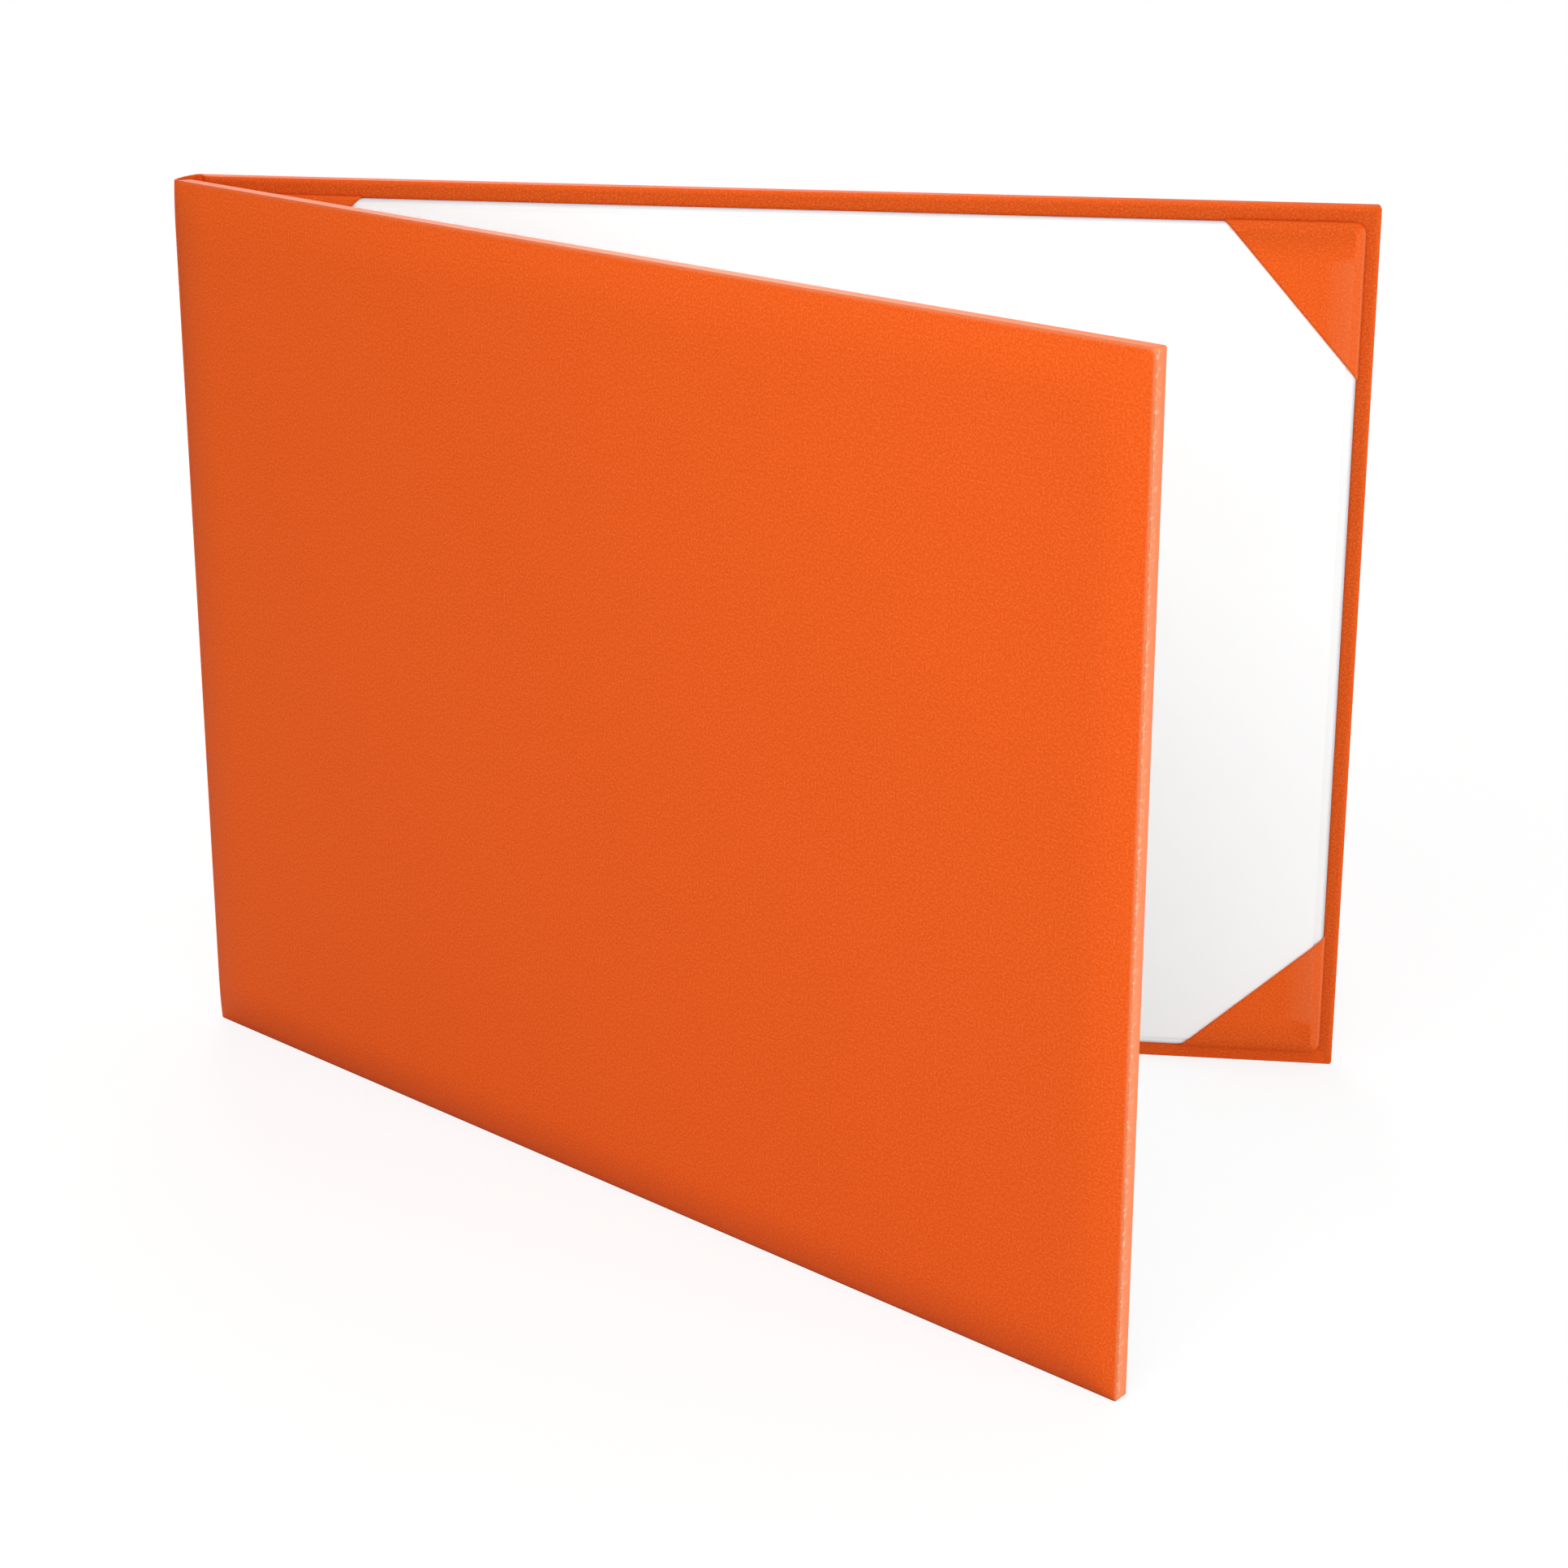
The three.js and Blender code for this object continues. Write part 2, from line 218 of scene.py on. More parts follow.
def leatherette(name, dye, pebbles=2400.0, uneven=0.30, relief=0.00006):
    """Leatherette whose grain follows the sheet's own flat measure, and whose soft form its swell."""
    material = bpy.data.materials.new(name)
    material.use_nodes = True
    tree = material.node_tree
    shader = tree.nodes["Principled BSDF"]
    flat = add_node(tree, "UVMap", {"uv_map": "flat_sheet"})
    # This attribute carries painted highlight and painted shade into the grain's colour.
    light_paint = add_node(tree, "Attribute", {"attribute_name": "painted_light"})
    grain = tree.nodes.new("ShaderNodeGroup")
    grain.node_tree = embossed_grain
    tree.links.new(flat.outputs["UV"], grain.inputs["Place"])
    tree.links.new(light_paint.outputs["Fac"], grain.inputs["Painted light"])
    grain.inputs["Dye"].default_value = dye
    grain.inputs["Pebbles per metre"].default_value = pebbles
    grain.inputs["Unevenness"].default_value = uneven
    swell = add_node(tree, "Attribute", {"attribute_name": "swell"})  # in millimetres
    form = add_node(tree, "Bump", None, Height=swell.outputs["Fac"], Distance=MM, Strength=1.0)
    bump = add_node(
        tree, "Bump", None, Height=grain.outputs["Height"], Normal=form.outputs["Normal"],
        Distance=relief, Strength=0.55,
    )
    tree.links.new(grain.outputs["Colour"], shader.inputs["Base Color"])
    tree.links.new(grain.outputs["Roughness"], shader.inputs["Roughness"])
    tree.links.new(bump.outputs["Normal"], shader.inputs["Normal"])
    shader.inputs["Specular IOR Level"].default_value = 0.06
    return material


orange_dye = (0.80, 0.1, 0.0065, 1.0)
orange_leatherette = leatherette("orange_leatherette", orange_dye)


# Cover skins
# One sheet of leatherette wraps the whole book: over the foam of each cover, round the three
# free edges of its board and in on the inside, where the turn-ins meet in a mitre. It is made
# here as two sheets that meet at the middle of the spine, each pasted on its cover.

pad_crown = 1.6 * MM
pad_shoulder = 13 * MM
pad_swell = 3.2  # millimetres, as shading only
edge_roll = 0.4 * MM
corner_radius = 0.9 * MM
cover_thickness = 3.9 * MM
spine_thickness = 1.0 * MM
spine_arch = 0.8 * MM
fold_reach = 1.1 * MM
board_start = 2.2 * MM
board_climb = 1 * MM
turn_in = 17 * MM
inside_radius = 0.3 * MM
face_step = 4 * MM
spine_step = 0.6 * MM
fold_step = 0.24 * MM
paling_reach = 0.3 * MM
mitre_lap = 0.12 * MM


def shoulder_rise(distance):
    """Share of the crown that the padding has reached at a distance from the edge."""
    share = np.clip(distance / pad_shoulder, 0, 1)
    steep, soft = np.sqrt(1 - (1 - share) ** 3), np.sin(share * math.pi / 2)
    return 0.4 * steep + 0.6 * soft


def edge_distance(distance, z):
    """Distance from the three free edges, on contours that are rounder the further in they lie.

    The contour at distance d turns its corners with a radius of corner_radius + d. Its reach is
    how far from both edges that turn begins, and comes out of a quadratic.
    """
    side = np.clip(cover_width - distance, 0, None)
    end = np.clip(np.minimum(z, height - z), 0, None)
    total = 2 * (side + end) + corner_radius / 2
    squares = side**2 + end**2 - corner_radius**2 / 4
    reach = (total + np.sqrt(np.clip(total**2 - 7 * squares, 0, None))) / 3.5
    rounded = (reach - corner_radius) / 2
    straight = np.minimum(side, end)
    inside_corner = (side < reach) & (end < reach)
    return np.clip(np.where(inside_corner, rounded, straight), 0, None)


def skin_depth(distance, z):
    """Depth of the outer face: the rolled edge, the shoulder and the crown of the pad."""
    rise = shoulder_rise(edge_distance(distance, z))
    from_spine = shoulder_rise(distance - fold_reach)
    slack = 0.05 * MM * np.sin(distance * 41 + z * 17) * np.sin(z * 53 - distance * 23)
    crown = pad_crown - 0.06 * MM + slack
    return edge_roll * (1 - rise) - crown * rise * from_spine


def round_the_fold(cover, spine, distance, depth):
    """Places on a sheet that runs from its cover, where distance is positive, to the spine."""
    arch = spine_arch * np.sin(np.pi * np.clip(-distance, 0, spine_width) / spine_width)
    on_cover = cover.at(distance, depth)
    on_spine = spine.at(-distance, depth - arch)
    meet = cover.inward + spine.inward
    meet = meet / (1 + cover.inward @ spine.inward)
    corner = cover.fold + (np.asarray(depth)[..., None] - fold_depth) * meet
    arch_there = spine_arch * np.sin(np.pi * fold_reach / spine_width)
    first = spine.at(np.full_like(distance, fold_reach), depth - arch_there)
    last = cover.at(np.full_like(distance, fold_reach), depth)
    share = np.clip((distance + fold_reach) / (2 * fold_reach), 0, 1)[..., None]
    bent = (1 - share) ** 2 * first + 2 * share * (1 - share) * corner + share**2 * last
    flat = np.where(distance[..., None] > 0, on_cover, on_spine)
    return np.where(np.abs(distance)[..., None] < fold_reach, bent, flat)


def spaced(start, end, step):
    """Even places from start to end, about a step apart."""
    return np.linspace(start, end, max(2, int(round((end - start) / step)) + 1))


def close_to_edge(length, steps=12):
    """Insets that crowd towards an edge, where the leatherette turns most."""
    return length * (np.arange(steps + 1) / steps) ** 2


def sheet_columns():
    insets = close_to_edge(pad_shoulder)
    return np.unique(np.round(np.concatenate([
        spaced(-spine_width / 2, -fold_reach, spine_step),
        spaced(-fold_reach, fold_reach, fold_step),
        fold_reach + insets,
        spaced(fold_reach + pad_shoulder, cover_width - pad_shoulder, face_step),
        cover_width - insets,
    ]), 7))


def sheet_rows():
    insets = close_to_edge(pad_shoulder)
    middle = spaced(pad_shoulder, height - pad_shoulder, face_step)
    return np.unique(np.round(np.concatenate([insets, middle, height - insets]), 7))


def grid_faces(index):
    """Quads between the points of a grid, column by column."""
    return [
        quad
        for i in range(len(index) - 1)
        for quad in zip(index[i, :-1], index[i + 1, :-1], index[i + 1, 1:], index[i, 1:])
    ]


def eased(share):
    """Share of a climb that starts and ends gently."""
    share = np.clip(share, 0, 1)
    return share * share * (3 - 2 * share)


def sheet_thickness(distance):
    """Depth of the inner face: one doubled sheet on the spine, a whole board on the cover."""
    share = eased((distance - fold_reach) / (board_start + board_climb - fold_reach))
    return spine_thickness + (cover_thickness - spine_thickness) * share


def mesh_piece(name, places, faces, flat, painted_light, outward, thickness, swell=None):
    """Solid piece from a mesh that keeps its flat measure, its painted light and its swell.

    With a thickness, the mesh is the face that looks outward, and the material lies behind it.
    """
    mesh = bpy.data.meshes.new(name)
    mesh.from_pydata(places.tolist(), [], [list(map(int, face)) for face in faces])
    loops = np.empty(len(mesh.loops), int)
    mesh.loops.foreach_get("vertex_index", loops)
    layer = mesh.uv_layers.new(name="flat_sheet")
    layer.data.foreach_set("uv", flat[loops].astype(np.float32).ravel())
    attribute = mesh.attributes.new("painted_light", "FLOAT", "POINT")
    attribute.data.foreach_set("value", painted_light.astype(np.float32))
    if swell is not None:
        attribute = mesh.attributes.new("swell", "FLOAT", "POINT")
        attribute.data.foreach_set("value", swell.astype(np.float32))
    work = bmesh.new()
    work.from_mesh(mesh)
    bmesh.ops.remove_doubles(work, verts=work.verts, dist=0.002 * MM)
    bmesh.ops.dissolve_degenerate(work, edges=work.edges, dist=0.001 * MM)
    loose = [vertex for vertex in work.verts if not vertex.link_faces]
    bmesh.ops.delete(work, geom=loose, context="VERTS")
    bmesh.ops.recalc_face_normals(work, faces=work.faces)
    if thickness:
        facing = sum((face.normal * face.calc_area() for face in work.faces), Vector())
        if facing.dot(Vector((*outward, 0.0))) < 0:
            bmesh.ops.reverse_faces(work, faces=work.faces)
    for face in work.faces:
        face.smooth = True
    work.to_mesh(mesh)
    work.free()
    piece = bpy.data.objects.new(name, mesh)
    bpy.context.scene.collection.objects.link(piece)
    if thickness:
        thicken = piece.modifiers.new("thickness", "SOLIDIFY")
        thicken.thickness = thickness
        thicken.offset = -1
        thicken.use_even_offset = False
        thicken.use_quality_normals = True
        apply_modifiers(piece)
    return piece


def apply_modifiers(piece):
    """Makes the shape that a piece's modifiers give its own mesh."""
    bpy.context.view_layer.update()
    graph = bpy.context.evaluated_depsgraph_get()
    made = bpy.data.meshes.new_from_object(piece.evaluated_get(graph), depsgraph=graph)
    piece.modifiers.clear()
    piece.data = made


def cover_skin(name, cover, spine, edge_light):
    """Half of the leatherette: face, rolled edges, board edges and turn-ins, up to mid-spine.

    Edge light gives a painted highlight round the free edge, the top and the bottom where it is above
    zero. Where it is below zero, the edge is painted darker, as shade on the underside that light
    doesn't reach.
    """
    at_free_side, at_top_edge, at_bottom_edge = edge_light
    columns, rows = sheet_columns(), sheet_rows()
    distance, z = np.meshgrid(columns, rows, indexing="ij")
    side, end = cover_width - distance, np.minimum(z, height - z)
    # The outermost points of the grid move in, onto the rounded corners.
    away = np.hypot(corner_radius - side, corner_radius - end)
    tip = (side < corner_radius) & (end < corner_radius) & (away > corner_radius)
    pull = np.where(tip, corner_radius / np.where(away > 0, away, 1), 1)
    distance = np.where(tip, cover_width - corner_radius + (corner_radius - side) * pull, distance)
    shift = (corner_radius - end) * (1 - pull)
    z = np.where(tip, np.where(z < height / 2, z + shift, z - shift), z)
    depth = skin_depth(distance, z)
    from_spine = 0.5 + 0.5 * shoulder_rise(distance - fold_reach)
    swell = pad_swell * shoulder_rise(edge_distance(distance, z)) * from_spine
    index = np.arange(distance.size).reshape(distance.shape)
    faces = grid_faces(index)
    rim = np.concatenate([index[:, 0], index[-1, 1:-1], index[::-1, -1]])
    rim_distance, rim_z = distance.ravel()[rim], z.ravel()[rim]
    near_edge = 0.5 * MM
    lies_low, lies_high = rim_z < near_edge, rim_z > height - near_edge
    at_free_edge = ~(lies_low | lies_high) | (rim_distance > cover_width - corner_radius)
    out = np.stack([at_free_edge.astype(float), lies_high.astype(float) - lies_low], 1)
    out /= np.linalg.norm(out, axis=1)[:, None]
    # Share of the painted shade on the turn-ins, as in the recess inside the board's edge: faint
    # along the bottom, full elsewhere.
    turn_in_shade = np.where(lies_low, 0.1, 1.0)
    deep = sheet_thickness(rim_distance)
    distances, heights, depths = [distance.ravel()], [z.ravel()], [depth.ravel()]
    flats = [np.stack([distance.ravel(), z.ravel()], 1)]
    # Painted highlight, or painted shade where the edge light is below zero, on the face close to
    # each edge.
    edge_near = np.clip(1.6 - edge_distance(distance, z) / paling_reach, 0, 1)
    at_top = z > height / 2
    nearest_side = cover_width - distance < np.minimum(z, height - z)
    edge_paint = np.where(nearest_side, at_free_side, np.where(at_top, at_top_edge, at_bottom_edge))
    # Along the top and the bottom the painted highlight and shade grow stronger, the further from the
    # spine.
    fade = np.clip((distance - board_start) / (0.6 * cover_width), 0, 1)
    edge_paint = np.where(nearest_side, edge_paint, edge_paint * (0.35 + 0.65 * fade))
    light_paints = [(edge_near * edge_paint * (distance > board_start)).ravel()]
    rim_edge_paint = edge_paint.ravel()[rim]
    rolls = [(1 - math.cos(turn), math.sin(turn)) for turn in np.linspace(0, math.pi / 2, 5)[1:]]
    insets = [1.5 * MM, 4 * MM, 8 * MM, 12 * MM, 15 * MM, turn_in]
    # Rings go down the board's edge, round its inner arris and in along its inside. Each says its
    # inset, its level, how far it lies along the sheet, and its painted light: a painted highlight on
    # the board's edge and round the arris, painted shade on the turn-ins.
    rings = []
    for share in np.linspace(0.12, 1.0, 7):
        level = edge_roll + (deep - inside_radius - edge_roll) * share
        rings.append((0.0, level, level - edge_roll, 1 - 0.2 * share))
    for draw, drop in rolls:
        level = deep - inside_radius + inside_radius * drop
        rings.append((inside_radius * draw, level, level + inside_radius * draw, 0.5 * (1 - drop)))
    for inset in insets:
        rings.append((inset, deep, deep + inset, -1.0))
    previous = rim
    total = distance.size
    for inset, level, run, light_paint in rings:
        ring_distance = np.minimum(rim_distance, cover_width - inset)
        ring_z = np.clip(rim_z, inset, height - inset)
        # The side turn-in laps over the other two at the mitres.
        lap = np.clip((ring_z - (cover_width - ring_distance)) / MM, 0, 1)
        lap_high = np.clip((height - ring_z - (cover_width - ring_distance)) / MM, 0, 1)
        over = mitre_lap * np.minimum(lap, lap_high) * (inset > inside_radius)
        ring = total + np.arange(len(rim))
        total += len(rim)
        distances.append(ring_distance)
        heights.append(ring_z)
        depths.append(np.asarray(level) + over)
        flats.append(np.stack([rim_distance, rim_z], 1) + out * np.asarray(run)[..., None])
        ring_paint = rim_edge_paint if light_paint > 0 else turn_in_shade
        light_paints.append(light_paint * ring_paint * (rim_distance > board_start))
        faces += list(zip(previous[:-1], ring[:-1], ring[1:], previous[1:]))
        previous = ring
    distance, z, depth = (np.concatenate(part) for part in (distances, heights, depths))
    places = np.column_stack([round_the_fold(cover, spine, distance, depth), z])
    swell = np.concatenate([swell.ravel(), np.zeros(len(z) - swell.size)])
    skin = mesh_piece(
        name, places, faces, np.concatenate(flats), np.concatenate(light_paints),
        -cover.inward, wrap_thickness, swell,
    )
    skin.data.materials.append(orange_leatherette)
    return skin


def fold_over(piece):
    """Bakes the placement of a sheet, drawn round its fold between a cover and the spine, into its
    mesh.
    """
    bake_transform(piece)


# Lit and shaded copies: the back's edges get little painted highlight, the front's free edge and top
# more, and the front's bottom edge painted shade.
back_skin = cover_skin("back_leatherette", back_leaf, spine_from_back, (0.3, 0.15, 0.0))
fold_over(back_skin)
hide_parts("back_wrap", "spine_strip")

front_skin = cover_skin("front_leatherette", front_leaf, spine_from_front, (1.0, 0.8, -1.6))
fold_over(front_skin)
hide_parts("front_wrap")


# Corner pieces
# Four triangles of the same leatherette, folded round the corners of the white liner and
# pasted down behind it. The diagonal edge is hemmed, and the sheet slides in under it.

corner_leather = 0.35 * MM
fold_run = 2.8 * MM
fold_drop = 1.3 * MM
lip_width = 7 * MM
painted_light_reach = 7 * MM
sag_reach = 9 * MM
sag_depth = 0.16 * MM
sag_swell = 0.8  # millimetres, as shading only
corner_grid = 40


def corner_piece(name, level_sign, upright_sign):
    """Triangle with two rounded folds, two lips behind the liner and a hem on the diagonal."""
    low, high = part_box(name)
    level_leg, upright_leg = high.x - low.x, high.z - low.z
    apex_x = high.x if level_sign > 0 else low.x
    apex_z = high.z if upright_sign > 0 else low.z
    face_y, back_y = low.y, high.y
    across = level_leg * (1 - fold_run / upright_leg) - fold_run
    down = upright_leg * (1 - fold_run / level_leg) - fold_run
    steps = np.arange(corner_grid + 1)
    first, second = np.meshgrid(steps, steps, indexing="ij")
    keep = first + second <= corner_grid
    index = np.full(keep.shape, -1)
    index[keep] = np.arange(keep.sum())
    crowd = (first[keep] + second[keep]) / corner_grid
    crowd = np.where(crowd > 0, crowd ** 0.35, 1)
    along = fold_run + first[keep] / corner_grid * across * crowd
    below = fold_run + second[keep] / corner_grid * down * crowd
    from_hem = 1 - (along - fold_run) / across - (below - fold_run) / down
    sag = np.minimum(1, np.minimum(along, below) / sag_reach - fold_run / sag_reach)
    dip = sag_depth * sag * (2 - sag) * np.clip(from_hem * 5, 0, 1)
    faces = []
    for i in range(corner_grid):
        for j in range(corner_grid - i):
            faces.append((index[i, j], index[i + 1, j], index[i, j + 1]))
            if i + j + 2 <= corner_grid:
                faces.append((index[i + 1, j], index[i + 1, j + 1], index[i, j + 1]))
    turns = np.linspace(0, math.pi / 2, 9)
    path = [(index[i, 0], 0.0, -1.0) for i in range(corner_grid, 0, -1)]
    path += [(index[0, 0], -math.sin(turn), -math.cos(turn)) for turn in turns]
    path += [(index[0, j], -1.0, 0.0) for j in range(1, corner_grid + 1)]
    rim = np.array([step[0] for step in path])
    out = np.array([step[1:] for step in path])
    slant = np.stack([
        (along[rim] - fold_run) / across * level_leg / upright_leg,
        (below[rim] - fold_run) / down * upright_leg / level_leg,
    ], 1)
    deep = back_y - face_y
    quarter = (fold_run + fold_drop) / 2 * math.pi / 2
    rings = [
        (fold_run * math.sin(turn), fold_drop * (1 - math.cos(turn)), quarter * turn / turns[-1])
        for turn in turns[1:]
    ]
    for level in (0.6 * fold_drop + 0.4 * deep, deep):
        rings.append((fold_run, level, quarter + level - fold_drop))
    wall = quarter + deep - fold_drop
    places_a, places_b, places_y = [along], [below], [dip]
    flats = [np.stack([along, below], 1)]
    # Painted highlight along the upright fold, painted shade along the level one.
    side_highlight, level_shade = 0.2, 0.6
    near_side = np.clip(1 - (along - fold_run) / painted_light_reach, 0, 1)
    near_level = np.clip(1 - (below - fold_run) / painted_light_reach, 0, 1)
    light_paints = [side_highlight * near_side * (1 - near_level) - level_shade * near_level]
    sideways = -out[:, 0]
    total, previous = len(along), rim
    for outset, level, run in rings:
        ring = total + np.arange(len(rim))
        total += len(rim)
        places_a.append(along[rim] + (out[:, 0] + slant[:, 0]) * outset)
        places_b.append(below[rim] + (out[:, 1] + slant[:, 1]) * outset)
        places_y.append(np.full(len(rim), level))
        flats.append(np.stack([along[rim], below[rim]], 1) + out * run)
        # On the folds: a painted highlight ridge on the upright side, painted shade on the level
        # side.
        ridge = 0.3 if 0.3 * fold_drop < level < 0.9 * fold_drop else 0.1
        light_paints.append(ridge * sideways - level_shade * (1 - sideways))
        faces += list(zip(previous[:-1], ring[:-1], ring[1:], previous[1:]))
        previous = ring
    for inset in (0.5 * fold_run, fold_run, 4.5 * MM, lip_width):
        ring = total + np.arange(len(rim))
        total += len(rim)
        lip = (out + slant) * (fold_run - inset)
        places_a.append(np.maximum(0, along[rim] + lip[:, 0]))
        places_b.append(np.maximum(0, below[rim] + lip[:, 1]))
        places_y.append(np.full(len(rim), deep))
        flats.append(np.stack([along[rim], below[rim]], 1) + out * (wall + inset))
        light_paints.append(np.zeros(len(rim)))
        faces += list(zip(previous[:-1], ring[:-1], ring[1:], previous[1:]))
        previous = ring
    a, b, y = (np.concatenate(part) for part in (places_a, places_b, places_y))
    places = np.column_stack([apex_x - level_sign * a, face_y + y, apex_z - upright_sign * b])
    swell = np.zeros(len(a))
    swell[:len(dip)] = -sag_swell * sag * (2 - sag)
    flat = np.concatenate(flats) + 0.4  # its own stretch of the dyed cloth
    piece = mesh_piece(
        name + "_leatherette", places, faces, flat, np.concatenate(light_paints),
        back_leaf.inward, corner_leather, swell,
    )
    piece.data.materials.append(orange_leatherette)
    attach(piece, "back_cover")
    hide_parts(name)
    return piece


corner_piece("corner_top_outer", 1, 1)
corner_piece("corner_bottom_outer", 1, -1)
corner_piece("corner_top_spine", -1, 1)
corner_piece("corner_bottom_spine", -1, -1)


# Hinge lining
# A strip of the same leatherette pasted inside the spine, over the turn-ins. It bends at both
# folds, climbs over the edge of each board and ends at the white panels.

lining_thickness = 0.35 * MM
lining_on_spine = 1.45 * MM
lining_on_cover = 4.35 * MM
lining_width = 7.45 * MM
lining_setback = 3.5 * MM
climb_start = 0.8 * MM
climb_run = 1.5 * MM
climb_end = 3 * MM
climb_step = 0.2 * MM
flap_step = 0.9 * MM


def hinge_lining(name, cover, spine):
    """Half of the lining, from the middle of the spine to its end on a cover."""
    columns = np.unique(np.round(np.concatenate([
        spaced(-spine_width / 2, -fold_reach, spine_step),
        spaced(-fold_reach, climb_end, climb_step),
        spaced(climb_end, lining_width, flap_step),
    ]), 7))
    rows = spaced(lining_setback, height - lining_setback, 3 * MM)
    distance, z = np.meshgrid(columns, rows, indexing="ij")
    climb = eased((distance - climb_start) / climb_run)
    ripple = 0.04 * MM * np.sin(z * 190 + distance * 300) * np.sin(z * 61)
    depth = lining_on_spine + (lining_on_cover - lining_on_spine) * climb + ripple
    plan = round_the_fold(cover, spine, distance, depth).reshape(-1, 2)
    places = np.column_stack([plan, z.ravel()])
    faces = grid_faces(np.arange(distance.size).reshape(distance.shape))
    flat = np.stack([distance.ravel() + 0.7, z.ravel()], 1)  # its own stretch of the dyed cloth
    strip = mesh_piece(
        name, places, faces, flat, np.zeros(z.size), cover.inward, lining_thickness,
    )
    strip.data.materials.append(orange_leatherette)
    fold_over(strip)
    return strip


back_lining = hinge_lining("back_hinge_lining", back_leaf, spine_from_back)
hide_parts("back_hinge_flap", "spine_lining")
front_lining = hinge_lining("front_hinge_lining", front_leaf, spine_from_front)
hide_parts("front_hinge_flap")


# White liner and lining panel
# Smooth white-faced card: one panel carries the sheet on the back cover, and a thinner one
# lines the front cover. Both are pasted over the turned-in leatherette.


def paper(name, white, fibre, relief, roughness):
    """White paper or card: faint fibres, a little cloudiness and a matte face."""
    material = bpy.data.materials.new(name)
    material.use_nodes = True
    tree = material.node_tree
    shader = tree.nodes["Principled BSDF"]
    place = add_node(tree, "TexCoord").outputs["Object"]
    fibres = noise(tree, place, fibre, 4.0, 0.65)
    cloud = noise(tree, place, 35.0, 3.0, 0.5)
    tint = tuple(channel * 0.975 for channel in white[:3]) + (1.0,)
    colour = mix_colour(tree, cloud, white, tint)
    rough = math_node(tree, "ADD", roughness, math_node(tree, "MULTIPLY", fibres, 0.12))
    bump = add_node(tree, "Bump", None, Height=fibres, Distance=relief, Strength=0.35)
    tree.links.new(colour, shader.inputs["Base Color"])
    tree.links.new(rough, shader.inputs["Roughness"])
    tree.links.new(bump.outputs["Normal"], shader.inputs["Normal"])
    shader.inputs["Specular IOR Level"].default_value = 0.3
    return material


def panel(name, body, node, cover, span, rise, layer, rounding):
    """Flat panel in a cover, with its rim rounded on the side that shows.

    Span, rise and layer are where it starts and ends along the cover, upwards and in depth.
    Rounding is how far the rim's curve reaches in from the edge, and down the face.
    """
    (left, right), (bottom, top), (back, face) = span, rise, layer
    run, drop = rounding
    corner, sharpest = 2.4 * MM, 0.05 * MM
    corner_points = 6
    # Each loop says its inset, its depth and its share of the painted grey shade on the rim.
    loops = [(run * (1 - math.sin(turn)), face - drop * (1 - math.cos(turn)), math.sin(turn))
             for turn in np.linspace(0, math.pi / 2, 7)]
    loops += [(0.0, back, 1.0)]
    centres = [(right, top, 0), (left, top, 1), (left, bottom, 2), (right, bottom, 3)]
    middle_x, middle_z = (left + right) / 2, (bottom + top) / 2
    distance, z, depth, rim = [], [], [], []
    for inset, level, rim_shade in loops:
        for x, y, quarter in centres:
            radius = max(corner - inset, sharpest)
            keep = radius + inset
            for turn in np.linspace(quarter, quarter + 1, corner_points) * math.pi / 2:
                distance.append(x - math.copysign(keep, x - middle_x) + radius * math.cos(turn))
                z.append(y - math.copysign(keep, y - middle_z) + radius * math.sin(turn))
                depth.append(level)
                rim.append(rim_shade)
    count = corner_points * len(centres)
    faces = [list(range(count)), list(range(len(z) - count, len(z)))]
    for ring in range(len(loops) - 1):
        for i in range(count):
            first, last = ring * count + i, ring * count + (i + 1) % count
            faces.append([first, last, last + count, first + count])
    places = np.column_stack([cover.at(distance, depth), z])
    flat = np.stack([distance, z], 1)
    card = mesh_piece(name, places, faces, flat, np.array(rim), cover.inward, 0)
    card.data.materials.append(white_card)
    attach(card, body)
    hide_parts(node)
    return card


def card_material():
    """White-faced card whose rounded rim is painted grey-blue towards its edge, as shade."""
    rim_shade_grey = (0.47, 0.47, 0.53, 1.0)
    material = paper("white_card", (0.93, 0.93, 0.925, 1.0), 900.0, 0.00002, 0.6)
    tree = material.node_tree
    shader = tree.nodes["Principled BSDF"]
    face = shader.inputs["Base Color"].links[0].from_socket
    rim = add_node(tree, "Attribute", {"attribute_name": "painted_light"}).outputs["Fac"]
    # Painted shade: the rim turns grey-blue.
    share = math_node(tree, "MULTIPLY", rim, 0.85)
    colour = mix_colour(tree, share, face, rim_shade_grey)
    tree.links.new(colour, shader.inputs["Base Color"])
    return material


white_card = card_material()
margin_at_spine, margin_at_side = 8.0 * MM, 4.0 * MM
margin_below, margin_above = 4.2 * MM, 4.4 * MM
liner_depths, liner_rounding = (4.45 * MM, 5.45 * MM), (1.0 * MM, 0.7 * MM)
lining_depths, lining_rounding = (4.0 * MM, 4.6 * MM), (0.6 * MM, 0.4 * MM)
panel_span = (margin_at_spine, cover_width - margin_at_side)
panel_rise = (margin_below, height - margin_above)
panel(
    "white_liner", "back_cover", "liner_board", back_leaf, panel_span, panel_rise,
    liner_depths, liner_rounding,
)
panel(
    "white_lining_panel", "front_cover", "front_lining", front_leaf, panel_span, panel_rise,
    lining_depths, lining_rounding,
)


# Blank sheet
# A letter-size sheet of heavy white paper with nothing on it. It lies on the liner, and its
# corners are held under the four leatherette corners.

blank_paper = paper("blank_paper", (0.99, 0.99, 0.99, 1.0), 1400.0, 0.00001, 0.55)
sheet_node = frame["nodes"]["certificate_sheet"]
sheet_node.data.materials.clear()
sheet_node.data.materials.append(blank_paper)


# Boards and foam
# Grey chipboard makes each cover stiff, and a thin foam pad on its outer face makes it soft.
# Both are sealed inside the leatherette.


